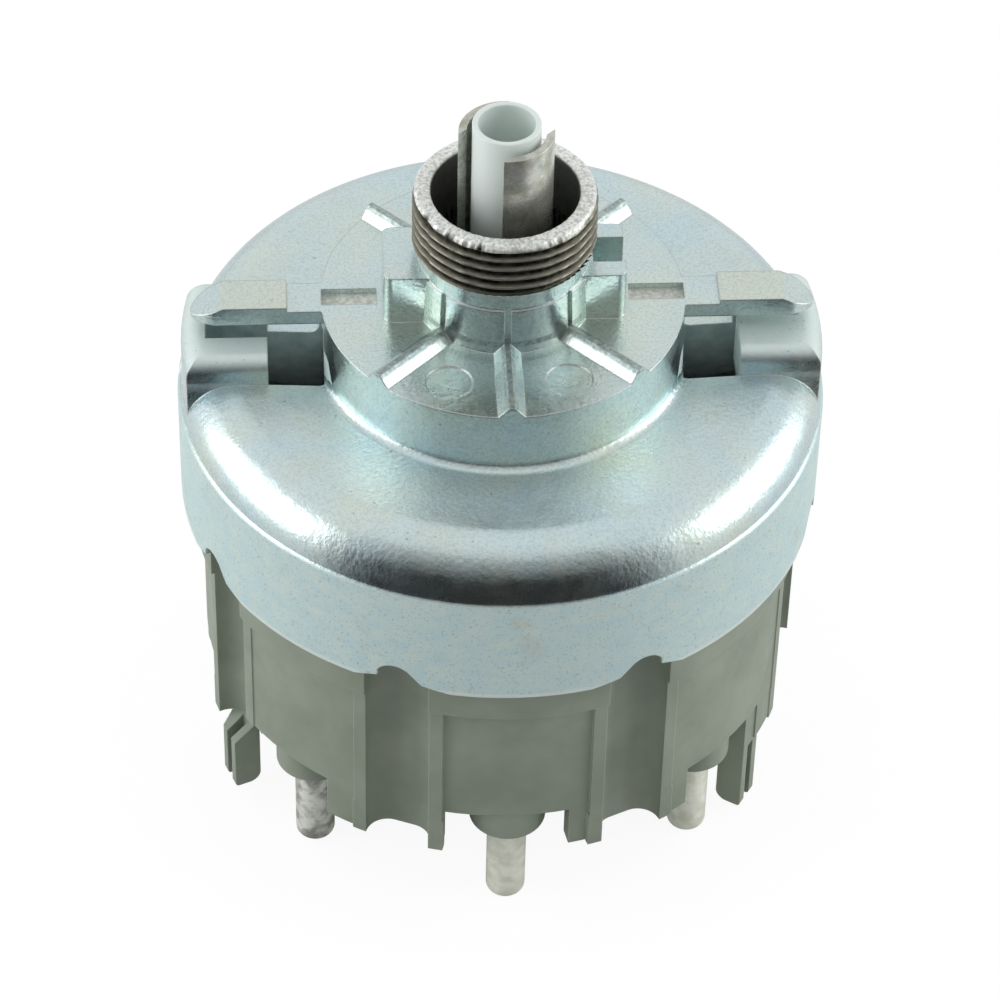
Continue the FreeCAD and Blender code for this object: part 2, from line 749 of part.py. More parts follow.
def make_rotor():
    boss_top = flange_top_z + flange_boss_h
    groove_z = carrier_z - clip_gap - clip_h
    body = revolved([
        (rotor_bore_r, spindle_foot_z), (spindle_r, spindle_foot_z),
        (spindle_r, groove_z - clip_gap), (spindle_r - clip_groove, groove_z - clip_gap),
        (spindle_r - clip_groove, carrier_z - clip_gap / 2), (spindle_r, carrier_z - clip_gap / 2),
        (spindle_r, carrier_z + carrier_h), (stem_r, carrier_z + carrier_h), (stem_r, flange_z),
        (flange_r, flange_z), (flange_r, flange_top_z), (flange_boss_r, flange_top_z),
        (flange_boss_r, boss_top), (journal_r, boss_top), (journal_r, journal_top_z),
        (rotor_bore_r, journal_top_z)])
    keys = box(-spindle_r - key_out, spindle_r + key_out, -key_w / 2, key_w / 2,
               carrier_z, carrier_z + carrier_h + 0.5)
    keys = keys.cut(cylinder(rotor_bore_r, carrier_z - 1, carrier_z + carrier_h + 1))
    body = fused(body, [keys])
    slot_half = drive_pin_r + 0.06
    slot = box(-stem_r - 1, stem_r + 1, -slot_half, slot_half, drive_pin_z - slot_half,
               drive_pin_z + pull_travel + slot_half)
    cuts = [slot]
    for i in range(ball_count):
        p = plan(i * 360.0 / ball_count, ball_circle)
        cuts.append(cylinder(ball_r + ball_clear, flange_z - 1, flange_top_z + 1, p.x, p.y))
    return body.cut(cuts)


def make_washer():
    low = flange_top_z + flange_boss_h + washer_clear
    return tube(flange_boss_r, journal_r + journal_clear * 2, low, hub_roof_z)


def make_detent_ring():
    """Ring with evenly spaced notches in its underside, fixed under the hub's roof."""
    low = hub_roof_z - detent_h
    body = tube(hub_in_r - ring_clear, detent_in_r, low, hub_roof_z)
    cuts = []
    for i in range(detent_notches):
        rod = Part.makeCylinder(ball_r, hub_in_r, V(0, -detent_in_r + 2, low - ball_r + detent_notch_deep),
                                V(0, -1, 0))
        cuts.append(turned(rod, i * 360.0 / detent_notches))
    return body.cut(cuts)


def ball_centre_z():
    return hub_roof_z - detent_h - ring_clear - ball_r


def make_ball(index):
    p = plan(index * 360.0 / ball_count, ball_circle, ball_centre_z())
    return Part.makeSphere(ball_r, p)


def make_leaf():
    """Flat ring with two arms that press the balls up through small dimples."""
    top = flange_z - leaf_gap
    ring_in = stem_r + leaf_gap
    body = tube(ring_in + leaf_ring_w, ring_in, top - leaf_t, top)
    adds = []
    for i in range(ball_count):
        bar = box(-leaf_arm_w / 2, leaf_arm_w / 2, -ball_circle, -ring_in - leaf_ring_w / 2,
                  top - leaf_t, top)
        end = cylinder(leaf_arm_w / 2, top - leaf_t, top, 0, -ball_circle)
        height = ball_centre_z() - ball_r - ring_clear - top + leaf_t / 2
        dimple = Part.makeCone(dimple_r, dimple_r * 0.5, height, V(0, -ball_circle, top - leaf_t / 2))
        adds.append(turned(bar.fuse([end, dimple]), i * 360.0 / ball_count))
    return fused(body, adds)


def bridge_angle(index):
    return bridge_start + index * 360.0 / bridge_count


def make_carrier():
    body = tube(carrier_r, spindle_r + key_clear, carrier_z, carrier_z + carrier_h)
    reach = spindle_r + key_out + key_clear
    half = key_w / 2 + key_clear
    keyway = box(-reach, reach, -half, half, carrier_z - 1, carrier_z + carrier_h + 1)
    cuts = [keyway]
    for i in range(bridge_count):
        p = plan(bridge_angle(i), bridge_rivet_at)
        cuts.append(cylinder(bridge_rivet_r + pin_clear, carrier_z - 1, carrier_z + carrier_h + 1, p.x, p.y))
    return body.cut(cuts)


def make_clip():
    """Open retaining ring in the spindle's groove."""
    top = carrier_z - clip_gap
    inner = spindle_r - clip_groove + clip_gap
    ring = tube(inner + clip_w, inner, top - clip_h, top)
    gap = box(-clip_opening / 2, clip_opening / 2, 0, inner + clip_w + 1, top - clip_h - 1, top + 1)
    return ring.cut(gap)


def make_bridge(index):
    """Bent bronze strip: flat under the carrier, then down to its contact toe."""
    low = strip_top_z + bridge_lift
    t = bridge_t
    run = bridge_tip - bridge_bend
    fall = carrier_z - t - low
    lean = t * math.hypot(run, fall) / fall
    section = [(bridge_in, carrier_z), (bridge_bend + lean * 0.5, carrier_z),
               (bridge_tip + lean * 0.5, low + t), (bridge_tip + bridge_toe, low + t * 1.8),
               (bridge_tip + bridge_toe + t * 0.4, low + t * 0.9), (bridge_tip, low),
               (bridge_tip - lean * 0.5, low), (bridge_bend - lean * 0.4, carrier_z - t),
               (bridge_in, carrier_z - t)]
    body = across(section, bridge_w)
    hole = cylinder(bridge_rivet_r + pin_clear, low, carrier_z + 1, 0, -bridge_rivet_at)
    return turned(body.cut(hole), bridge_angle(index))


def make_bridge_rivet(index):
    foot = carrier_z - bridge_t
    top = carrier_z + carrier_h
    head = bridge_rivet_head_h
    body = revolved([(0, foot - head), (bridge_rivet_head * 0.7, foot - head), (bridge_rivet_head, foot),
                     (bridge_rivet_r, foot), (bridge_rivet_r, top), (bridge_rivet_head, top),
                     (bridge_rivet_head * 0.7, top + head), (0, top + head)])
    body.translate(plan(bridge_angle(index), bridge_rivet_at))
    return body


def parts():
    yield "housing", make_housing()
    yield "contact_base", make_base()
    for name, angle in pin_nodes():
        yield "contact_pin_" + name, make_pin(angle)
        yield "contact_strip_" + name, make_strip(angle)
    yield "shaft", make_shaft()
    yield "light_tube", make_light_tube()
    yield "drive_pin", make_drive_pin()
    yield "plunger", make_plunger()
    yield "plunger_ring", make_plunger_ring()
    yield "fixed_blade_1", make_blade(1)
    yield "fixed_blade_2", make_blade(-1)
    yield "rotor", make_rotor()
    yield "thrust_washer", make_washer()
    yield "detent_ring", make_detent_ring()
    for i in range(ball_count):
        yield "detent_ball_%d" % (i + 1), make_ball(i)
    yield "detent_leaf_spring", make_leaf()
    yield "contact_carrier", make_carrier()
    yield "carrier_clip", make_clip()
    for i in range(bridge_count):
        yield "contact_bridge_%d" % (i + 1), make_bridge(i)
        yield "bridge_rivet_%d" % (i + 1), make_bridge_rivet(i)


os.makedirs("parts", exist_ok=True)
for node, shape in parts():
    shape.exportStep("parts/%s.step" % node)
    print("%-22s solids %d valid %s volume %.1f" % (node, len(shape.Solids), shape.isValid(), shape.Volume))
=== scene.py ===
import json
import math

import bmesh
import bpy
import numpy as np
from mathutils import Matrix, Vector


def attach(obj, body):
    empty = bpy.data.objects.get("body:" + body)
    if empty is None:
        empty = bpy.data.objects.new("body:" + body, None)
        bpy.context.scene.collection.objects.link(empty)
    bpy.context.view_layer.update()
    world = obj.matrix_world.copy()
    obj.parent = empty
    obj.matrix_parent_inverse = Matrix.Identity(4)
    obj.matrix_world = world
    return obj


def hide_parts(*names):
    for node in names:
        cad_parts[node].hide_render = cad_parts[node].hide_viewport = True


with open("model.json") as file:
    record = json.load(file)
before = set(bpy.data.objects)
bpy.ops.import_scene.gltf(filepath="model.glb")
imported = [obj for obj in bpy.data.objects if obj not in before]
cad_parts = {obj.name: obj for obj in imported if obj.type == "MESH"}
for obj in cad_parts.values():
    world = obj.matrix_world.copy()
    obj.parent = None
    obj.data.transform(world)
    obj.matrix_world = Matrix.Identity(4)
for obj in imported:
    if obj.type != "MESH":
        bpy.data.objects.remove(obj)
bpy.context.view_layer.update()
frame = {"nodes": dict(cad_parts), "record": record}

MM = 0.001

# The camera as fitted to the photograph: lengths in mm, angles in radians
TURN = math.radians(3.8)                        # how far it stands left of the switch's front
CAMERA_DISTANCE = 285.877                       # from the switch's axis
CAMERA_HEIGHT = 271.418                         # above the skirt's lower edge
CAMERA_PITCH, CAMERA_YAW, CAMERA_ROLL = 0.766767, 0.000542, 0.0250049
FOCAL_PIXELS, PICTURE_PIXELS = 4349.58, 1000
SENSOR = 36                                     # sensor width in mm

# Sizes of the housing in mm as the solid has them, heights above the pin tips
SKIRT = 30.5                                    # the skirt's lower edge
SKIRT_R = 28.67
BAND_TOP = SKIRT + 11.0
DOME_TOP = SKIRT + 15.6
HUB_FOOT_R, HUB_FILLET = 16.15, 0.8
HUB_TOP = SKIRT + 21.0
POCKET_FLOOR = HUB_TOP - 0.6
PAD_TOP = SKIRT + 18.2
ARM_UNDER, ARM_HALF = SKIRT + 19.6, 1.9
WINDOW_RIB_END, WINDOW_RIB_BACK = SKIRT + 11.1, 3.1
NECK_TOP = SKIRT + 27.15
COLLAR_TOP = SKIRT + 32.9
BORE_R, CREST_R = 6.35, 8.0

# Limits in mm between the housing's finishes, clear of its faces' middles
INSIDE_R, INSIDE_TOP = 26.9, DOME_TOP - 2.2     # below the dome's ceiling and within the skirt's wall
BORE_END = SKIRT + 17
POCKET_HALF, POCKET_IN_R = 1.3, 10.5
WINDOW_HALF, WINDOW_IN, WINDOW_OUT = 5.3, 15.0, 21.2
LIT_FROM, LIT_IN, LIT_HALF = SKIRT + 8, 14.0, 9.0   # the part of the inside that shows through a window
NEAR = 0.05                                     # how near a plane something counts as lying on it

# What the scene adds to the solids' form, in mm
THREAD_ROOT_R, THREAD_PITCH = 7.42, 1.0
RIB_DROP = 3.9                                  # the second step behind each window
TAB_DROP = 1.7                                  # the fall of the keying tabs' tops
CHANNEL_HALF, TAB_WEB = 0.5, 0.8                # the keying tabs' channels and the wall behind them

# Sizes of the base and the pins in mm
LEG_END = SKIRT - 21.8
TAB_ANGLES = (58.0, 199.0, 292.2)
TAB_IN_R, TAB_OUT_R = 24.50, 27.00
PIN_CIRCLE = 23.35
PIN_ANGLES = (0.0, 47.4, 90.0, 132.6, 180.0, 227.4, 270.0, 312.6)
DULL_PIN = 8                                    # the tarnished one, at the front left
PIN_R, PIN_CORNER, SEAT_R = 1.78, 0.8, 2.0
SEAT_Z, FLOOR_Z, STRIP_Z = SKIRT - 20.85, SKIRT - 14.6, SKIRT - 13.8

# The housing's finishes by their place in its list of materials
OUTSIDE, POCKET, BORE, INSIDE, WINDOW = range(5)

# Knocks in the collar's rim: depth as a share of the deepest, plan angle and width in degrees
KNOCKS = ((0.9, -62, 7), (1.0, -40, 9), (0.8, -21, 5), (0.5, -8, 6), (0.35, 30, 8), (0.3, 58, 6))


# Objects and meshes

def placed(name, data):
    """New object in the scene's collection."""
    thing = bpy.data.objects.new(name, data)
    bpy.context.scene.collection.objects.link(thing)
    return thing


def meshed(name, points, faces):
    """New object with a mesh of these points and faces."""
    mesh = bpy.data.meshes.new(name)
    mesh.from_pydata(points, [], faces)
    return placed(name, mesh)


def photo_camera():
    """Camera at the photograph's place; the object's turn is taken out of the camera instead."""
    forward = np.array([0, math.cos(CAMERA_PITCH), -math.sin(CAMERA_PITCH)])
    up = np.array([0, math.sin(CAMERA_PITCH), math.cos(CAMERA_PITCH)])
    right = np.array([1.0, 0, 0])
    ahead = math.cos(CAMERA_YAW) * forward + math.sin(CAMERA_YAW) * right
    side = math.cos(CAMERA_YAW) * right - math.sin(CAMERA_YAW) * forward
    across = math.cos(CAMERA_ROLL) * side + math.sin(CAMERA_ROLL) * up
    above = math.cos(CAMERA_ROLL) * up - math.sin(CAMERA_ROLL) * side
    c, s = math.cos(TURN), math.sin(TURN)
    back = np.array([[c, s, 0], [-s, c, 0], [0, 0, 1]])
    place = back @ np.array([0, -CAMERA_DISTANCE, CAMERA_HEIGHT + SKIRT]) * MM
    columns = np.column_stack([back @ across, back @ above, -(back @ ahead), place])
    data = bpy.data.cameras.new("photo_camera")
    data.lens = FOCAL_PIXELS * SENSOR / PICTURE_PIXELS
    data.clip_start, data.clip_end = 0.01, 10
    camera = placed("photo_camera", data)
    pose = Matrix.Identity(4)
    for i in range(3):
        for j in range(4):
            pose[i][j] = columns[i][j]
    camera.matrix_world = pose
    bpy.context.scene.camera = camera


def piece(name, points, faces, body, materials, stands_for, crease=32.0):
    """Object from points in mm; edges sharper than crease degrees stay hard."""
    thing = meshed(name, np.asarray(points, float) * MM, faces)
    thing.data.update()
    soften(thing.data, crease)
    for material in materials:
        thing.data.materials.append(material)
    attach(thing, body)
    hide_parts(*stands_for)
    return thing


def soften(mesh, crease):
    """Smooth shading, with edges hard where their faces meet at more than crease degrees."""
    work = bmesh.new()
    work.from_mesh(mesh)
    limit = math.radians(crease)
    for edge in work.edges:
        edge.smooth = len(edge.link_faces) == 2 and edge.calc_face_angle(0.0) < limit
    for face in work.faces:
        face.smooth = True
    work.to_mesh(mesh)
    work.free()


def merged_form(node, leave_out=None):
    """Points in mm and faces of a solid's mesh, its doubled corners merged and its flat faces joined."""
    doubled, flat = 0.002 * MM, math.radians(0.05)
    work = bmesh.new()
    work.from_mesh(frame["nodes"][node].data)
    bmesh.ops.remove_doubles(work, verts=work.verts, dist=doubled)
    if leave_out:
        gone = [face for face in work.faces if leave_out(face.calc_center_median() / MM)]
        bmesh.ops.delete(work, geom=gone, context="FACES")
    bmesh.ops.dissolve_limit(work, angle_limit=flat, verts=work.verts, edges=work.edges)
    work.verts.index_update()
    points = np.array([vert.co for vert in work.verts]) / MM
    faces = [[vert.index for vert in face.verts] for face in work.faces]
    work.free()
    return points, faces


def weighted(thing):
    """Large flat faces decide the shading of the fillets beside them."""
    steady = thing.modifiers.new("weighted", "WEIGHTED_NORMAL")
    steady.keep_sharp = True
    steady.weight = 60
    return thing


def carried(node, body, material, bevel):
    """Merged copy of a solid that stands in for it, its edges softly broken by bevel mm."""
    points, faces = merged_form(node)
    thing = piece(node + "_finished", points, faces, body, [material], [node])
    edges = thing.modifiers.new("broken_edges", "BEVEL")
    edges.width = bevel * MM
    edges.segments = 2
    edges.limit_method = "ANGLE"
    edges.angle_limit = math.radians(35)
    return weighted(thing)


def cut(points, faces, tool_points, tool_faces):
    """Points and faces of a form less those of a tool, both in mm."""
    form, tool = meshed("form", points, faces), meshed("tool", tool_points, tool_faces)
    step = form.modifiers.new("cut", "BOOLEAN")
    step.operation, step.object, step.solver = "DIFFERENCE", tool, "EXACT"
    bpy.context.view_layer.update()
    result = form.evaluated_get(bpy.context.evaluated_depsgraph_get()).to_mesh()
    left = np.array([vert.co for vert in result.vertices])
    sides = [list(face.vertices) for face in result.polygons]
    for thing in (form, tool):
        mesh = thing.data
        bpy.data.objects.remove(thing)
        bpy.data.meshes.remove(mesh)
    return left, sides


# Turned forms

def turned(rows, around):
    """Radii and heights of (radius, height) rows carried round an axis, and the plan angles."""
    turn = np.linspace(0, 2 * math.pi, around, endpoint=False)
    radius, height = (np.array(values)[:, None] * np.ones(around) for values in zip(*rows))
    return radius, height, turn


def turned_points(radius, height, turn, x=0.0, y=0.0):
    """Points (x + r sin t, y - r cos t, h), row after row."""
    return np.stack([radius * np.sin(turn) + x, -radius * np.cos(turn) + y, height], -1).reshape(-1, 3)


def grid_faces(rows, columns, close_rows=False):
    """Quads of a rows by columns grid whose columns close on themselves, and its rows if asked."""
    r = np.arange(rows if close_rows else rows - 1)
    r, c = np.meshgrid(r, np.arange(columns), indexing="ij")
    r2, c2 = (r + 1) % rows, (c + 1) % columns
    quads = np.stack([r * columns + c, r * columns + c2, r2 * columns + c2, r2 * columns + c], -1)
    return quads.reshape(-1, 4).tolist()


def smooth_noise(angles, seed, waves, low=2):
    """Sum of waves of random size and phase round a circle, with a mean square of one half."""
    rng = np.random.default_rng(seed)
    total = np.zeros_like(angles)
    weight = 0.0
    for k in range(low, low + waves):
        size = rng.uniform(0.4, 1.0) / math.sqrt(k)
        total += size * np.sin(k * angles + rng.uniform(0, 2 * math.pi))
        weight += size * size
    return total / math.sqrt(weight)


def hump(angles, centre, width):
    """Bell round a plan angle, centre and width in degrees: exp(-(distance / width)^2)."""
    distance = (np.degrees(angles) - centre + 180) % 360 - 180
    return np.exp(-(distance / width) ** 2)


def ramp(values, start, length):
    """0 up to start, 1 from start + length on, straight in between."""
    return np.clip((values - start) / length, 0, 1)


# Colours and nodes

def colour(code):
    """sRGB hex to linear red, green, blue and alpha."""
    value = np.array([int(code[i:i + 2], 16) / 255 for i in (1, 3, 5)])
    linear = np.where(value <= 0.04045, value / 12.92, ((value + 0.055) / 1.055) ** 2.4)
    return (*[float(v) for v in linear], 1.0)


def give(tree, node, feeds):
    """Gives a node's sockets a value or another node's output."""
    for key, value in feeds.items():
        if isinstance(value, bpy.types.NodeSocket):
            tree.links.new(value, node.inputs[key])
        else:
            node.inputs[key].default_value = value


def add(tree, kind, feeds=None, **settings):
    """Adds a node with its settings and what feeds its sockets."""
    made = tree.nodes.new(kind)
    for key, value in settings.items():
        setattr(made, key, value)
    give(tree, made, feeds or {})
    return made


def scaled(tree, vector, factors):
    """Vector times a factor for each axis."""
    return add(tree, "ShaderNodeVectorMath", {0: vector, 1: factors}, operation="MULTIPLY").outputs[0]


def new_material(name):
    """Material, its tree and its shader, and the place on the object in mm."""
    material = bpy.data.materials.new(name)
    material.use_nodes = True
    tree = material.node_tree
    place = add(tree, "ShaderNodeTexCoord").outputs["Object"]
    return material, tree, tree.nodes["Principled BSDF"], scaled(tree, place, (1000, 1000, 1000))


def noise(tree, in_mm, size, detail=3.0, rough=0.55):
    """Noise whose blotches are about size mm across, as a value."""
    feeds = {"Vector": in_mm, "Scale": 1 / size, "Detail": detail, "Roughness": rough}
    return add(tree, "ShaderNodeTexNoise", feeds).outputs["Fac"]


def between(tree, value, low, high, to_low=0.0, to_high=1.0):
    """Value taken from low..high to to_low..to_high and held at the ends."""
    feeds = {"Value": value, "From Min": low, "From Max": high, "To Min": to_low, "To Max": to_high}
    return add(tree, "ShaderNodeMapRange", feeds).outputs["Result"]


def blotches(tree, in_mm, size, detail, *limits):
    """Noise of a size in mm, drawn out by the limits that between takes."""
    return between(tree, noise(tree, in_mm, size, detail), *limits)


def blend_colours(tree, share, first, second):
    """From the first colour to the second by share; each is an sRGB hex, a linear value or an output."""
    first, second = (colour(c) if isinstance(c, str) else c for c in (first, second))
    return add(tree, "ShaderNodeMix", {0: share, 6: first, 7: second}, data_type="RGBA").outputs[2]


def washed(tree, body, *washes):
    """A colour with washes laid over it in turn, each a share and a colour."""
    for share, wash in washes:
        body = blend_colours(tree, share, body, wash)
    return body


def calc(tree, operation, a, b=0.0):
    """A sum, product or other operation on one or two values."""
    return add(tree, "ShaderNodeMath", {0: a, 1: b}, operation=operation).outputs[0]


def product(tree, first, *others):
    """All the values multiplied."""
    for value in others:
        first = calc(tree, "MULTIPLY", first, value)
    return first


def plus(tree, start, *parts):
    """A start value plus parts, each a value and its factor."""
    for value, factor in parts:
        start = calc(tree, "ADD", start, product(tree, value, factor))
    return start


def relief(tree, height, depth, normal=None):
    """Bump of a height between 0 and 1 that stands for depth mm."""
    feeds = {"Height": height, "Distance": depth * MM, "Strength": 1.0}
    if normal is not None:
        feeds["Normal"] = normal
    return add(tree, "ShaderNodeBump", feeds).outputs["Normal"]


def axis_values(tree, vector):
    """The vector's x, y and z."""
    parts = add(tree, "ShaderNodeSeparateXYZ", {"Vector": vector}).outputs
    return parts[0], parts[1], parts[2]


def radius_value(tree, x, y):
    """Distance from the switch's axis: square root of x squared plus y squared."""
    return calc(tree, "SQRT", calc(tree, "ADD", product(tree, x, x), product(tree, y, y)))


def layer(tree, z, height, low, full, ending, high):
    """Mask of a layer: rises over low..full above a height and falls over ending..high above it."""
    return product(tree, between(tree, z, height + low, height + full),
                   between(tree, z, height + ending, height + high, 1.0, 0.0))


def edge_share(tree, radius):
    """Rounded normal of an edge within radius mm, and how far it leans from the face's own."""
    rounded = add(tree, "ShaderNodeBevel", {"Radius": radius * MM}, samples=6).outputs["Normal"]
    own = add(tree, "ShaderNodeNewGeometry").outputs["Normal"]
    lean = add(tree, "ShaderNodeVectorMath", {0: rounded, 1: own}, operation="DOT_PRODUCT").outputs["Value"]
    return rounded, lean


# Finishes

def zinc_places(tree, y, z, radius):
    """Masks of the arms' tops, the hub's ribs, the pads and the dome's flat top."""
    arms = product(tree, between(tree, z, HUB_TOP + 0.25, HUB_TOP + 0.4),
                   between(tree, radius, HUB_FOOT_R + 0.35, HUB_FOOT_R + 1.35))
    clear_of_arms = between(tree, calc(tree, "ABSOLUTE", y), 3.8, 4.2)
    ribs = product(tree, layer(tree, z, HUB_TOP, 0.6, 0.8, 1.2, 1.4), clear_of_arms,
                   between(tree, radius, HUB_FOOT_R + 0.05, HUB_FOOT_R + 0.35, 1.0, 0.0))
    pads = product(tree, layer(tree, z, PAD_TOP, -1.3, -0.3, 0.3, 0.5),
                   between(tree, radius, HUB_FOOT_R + 0.45, HUB_FOOT_R + 0.85))
    flat_top = product(tree, layer(tree, z, DOME_TOP, -1.0, -0.2, 0.1, 0.3),
                       between(tree, radius, HUB_FOOT_R + 0.15, HUB_FOOT_R + 0.75))
    return arms, ribs, pads, flat_top


def chalky_band(tree, in_mm):
    """Colour of the skirt's rough band, and the mask of the pits in it."""
    lying = scaled(tree, in_mm, (1.0, 1.0, 1.6))
    mottle = between(tree, noise(tree, lying, 2.2, 5.0, 0.7), 0.34, 0.66)
    stain = blotches(tree, in_mm, 3.4, 4.0, 0.60, 0.78, 0.0, 0.35)
    pits = blotches(tree, in_mm, 0.24, 2.0, 0.58, 0.74, 0.0, 0.5)
    chalk = blend_colours(tree, mottle, "#BCD6DA", "#CBDCD6")
    return washed(tree, chalk, (stain, "#B3AC93"), (pits, "#6F878B")), pits


def passivated_zinc():
    """Die-cast zinc, plated and clear blue passivated. The eye sees a satin mirror, pale cyan with a cast
    of straw, broken up by the casting's orange peel; the skirt's band is left rough and looks chalky."""
    material, tree, shader, in_mm = new_material("passivated_zinc_casting")
    x, y, z = axis_values(tree, in_mm)
    radius = radius_value(tree, x, y)
    arms, ribs, pads, flat_top = zinc_places(tree, y, z, radius)
    straw = blotches(tree, in_mm, 5.0, 4.0, 0.54, 0.78, 0.0, 0.30)
    grit = noise(tree, in_mm, 0.26, 2.0)
    pressed = blotches(tree, in_mm, 0.34, 3.0, 0.32, 0.62, 0.95, 0.35)
    specks = blotches(tree, in_mm, 0.5, 2.0, 0.69, 0.76, 0.0, 0.6)
    band = product(tree, between(tree, z, BAND_TOP - 0.32, BAND_TOP - 0.02, 1.0, 0.0),
                   between(tree, radius, SKIRT_R - 0.25, SKIRT_R - 0.12))
    chalk, pits = chalky_band(tree, in_mm)

    # Edges: a painted highlight of bright metal on them above the band, brown beside them, and a ragged
    # bright hem of wear at the skirt's foot
    rounded, lean = edge_share(tree, 0.2)
    above_band = between(tree, z, BAND_TOP + 0.3, BAND_TOP + 1.2)
    brown = product(tree, between(tree, lean, 0.995, 0.96, 0.0, 0.45), above_band)
    ragged = calc(tree, "ADD", z, product(tree, grit, 0.35))
    hem = between(tree, ragged, SKIRT + 0.50, SKIRT + 0.64, 1.0, 0.0)
    highlight_zone_and_worn_hem = calc(tree, "MAXIMUM", above_band, hem)
    # worn here is a painted highlight of bright metal along the edges above the band, and wear along the
    # hem's edges
    worn = product(tree, between(tree, lean, 0.95, 0.80, 0.0, 0.8), highlight_zone_and_worn_hem)

    body = blend_colours(tree, blotches(tree, in_mm, 9.0, 4.0, 0.36, 0.66), "#D4E8ED", "#DFEBE3")
    body = washed(tree, body, (straw, "#D8D5B8"), (product(tree, arms, 0.55), "#E2E6D2"),
                  (between(tree, grit, 0.36, 0.56, 0.24, 0.0), "#93A6A9"),
                  (product(tree, ribs, pressed), "#8B9A98"), (product(tree, pads, 0.8), "#E2F0EC"),
                  (specks, "#7F8880"), (band, chalk), (brown, "#7A7866"), (worn, "#F1F6F3"),
                  (product(tree, hem, 0.7), "#DCE6E3"))
    metal = plus(tree, 1.0, (band, -0.97), (pads, -0.6), (flat_top, -0.22), (worn, -0.25))
    rough = plus(tree, blotches(tree, in_mm, 2.2, 4.0, 0.3, 0.7, 0.22, 0.33), (band, 0.30),
                 (calc(tree, "ADD", pads, ribs), 0.2), (flat_top, 0.05), (worn, 0.15))
    waves = relief(tree, noise(tree, in_mm, 2.6, 2.0), 0.03, rounded)
    peel = relief(tree, noise(tree, in_mm, 0.42, 2.0), 0.030, waves)
    pitted = relief(tree, product(tree, band, pits), -0.03, peel)
    give(tree, shader, {"Base Color": body, "Metallic": metal, "Roughness": rough, "Normal": pitted})
    return material


def pocket_floor_painted_pale():
    """Unpolished as-cast zinc at the bottom of the pockets: dull and grainy, and painted pale as light laid
    over the pockets' shade.
    """
    material, tree, shader, in_mm = new_material("as_cast_zinc_painted_pale")
    grains = noise(tree, in_mm, 0.35, 3.0)
    # painted light: these pale colours lift the shade in the pockets
    body = blend_colours(tree, between(tree, grains, 0.35, 0.65), "#C6C9C0", "#EDEFE7")
    give(tree, shader, {"Base Color": body, "Metallic": 0.2, "Roughness": 0.65,
                        "Normal": relief(tree, grains, 0.08)})
    return material


def bore_painted_dark():
    """Inside of the collar: zinc painted dark grey as shade, and dull so that it hardly shines."""
    material, tree, shader, in_mm = new_material("zinc_bore_painted_shade")
    body = blend_colours(tree, blotches(tree, in_mm, 1.5, 3.0, 0.35, 0.7), "#4A4D4A", "#6A6D68")
    give(tree, shader, {"Base Color": body, "Metallic": 0.3, "Roughness": 0.42})
    return material


def inner_casting(name, light, dark, metal):
    """Dull teal zinc inside the casting, out of the light. The copy for the faces seen through a window is
    painted much paler, as light laid over their shade, and both copies carry a painted highlight on their
    edges.
    """
    material, tree, shader, in_mm = new_material(name)
    rounded, lean = edge_share(tree, 0.2)
    body = blend_colours(tree, blotches(tree, in_mm, 1.6, 4.0, 0.35, 0.7), light, dark)
    # painted highlight: a light line along the edges
    body = washed(tree, body, (between(tree, lean, 0.97, 0.82, 0.0, 0.8), "#F4F8F5"))
    give(tree, shader, {"Base Color": body, "Metallic": metal, "Roughness": 0.5,
                        "Normal": relief(tree, noise(tree, in_mm, 0.42, 2.0), 0.02, rounded)})
    return material


def cut_thread():
    """Machined thread, painted dark as shade in its roots and its bore, lighter on its crests and bright on
    its rim.
    """
    material, tree, shader, in_mm = new_material("machined_dark_thread")
    x, y, z = axis_values(tree, in_mm)
    radius = radius_value(tree, x, y)
    worn = noise(tree, in_mm, 0.7, 4.0)
    rim = between(tree, z, COLLAR_TOP - 0.55, COLLAR_TOP - 0.2)
    # painted shade: the bore's faces are darkened
    inside = between(tree, radius, BORE_R + 0.03, BORE_R + 0.15, 1.0, 0.0)
    crest = between(tree, radius, THREAD_ROOT_R + 0.2, CREST_R)
    silver = blend_colours(tree, blotches(tree, in_mm, 0.3, 3.0, 0.35, 0.6), "#C2C6C0", "#FAFCF8")
    # painted shade: dark in the roots, lighter towards the crests
    body = blend_colours(tree, crest, "#2E2F29", "#9C998B")
    body = washed(tree, body, (between(tree, worn, 0.4, 0.7, 0.0, 0.5), "#6E6C5F"), (rim, silver),
                  (inside, "#5A5D59"))
    dull = calc(tree, "MAXIMUM", product(tree, rim, 0.6), product(tree, inside, 0.6))
    give(tree, shader, {"Base Color": body, "Metallic": calc(tree, "SUBTRACT", 0.9, dull),
                        "Roughness": between(tree, worn, 0.3, 0.7, 0.28, 0.5),
                        "Normal": relief(tree, noise(tree, in_mm, 0.5, 4.0), 0.06)})
    return material


def grey_moulding():
    """Glass-filled grey nylon: matt and slightly greenish, with a painted highlight that makes its edges a
    little lighter.
    """
    material, tree, shader, in_mm = new_material("moulded_grey_nylon")
    rounded, lean = edge_share(tree, 0.13)
    body = blend_colours(tree, blotches(tree, in_mm, 6.0, 3.0, 0.35, 0.68), "#889283", "#979F90")
    # painted highlight: a lighter line along the edges
    body = washed(tree, body, (between(tree, lean, 0.98, 0.84, 0.0, 0.75), "#C3CCC0"))
    give(tree, shader, {"Base Color": body, "Specular IOR Level": 0.45,
                        "Roughness": blotches(tree, in_mm, 1.2, 3.0, 0.3, 0.7, 0.42, 0.54),
                        "Normal": relief(tree, noise(tree, in_mm, 0.25, 2.0), 0.006, rounded)})
    return material


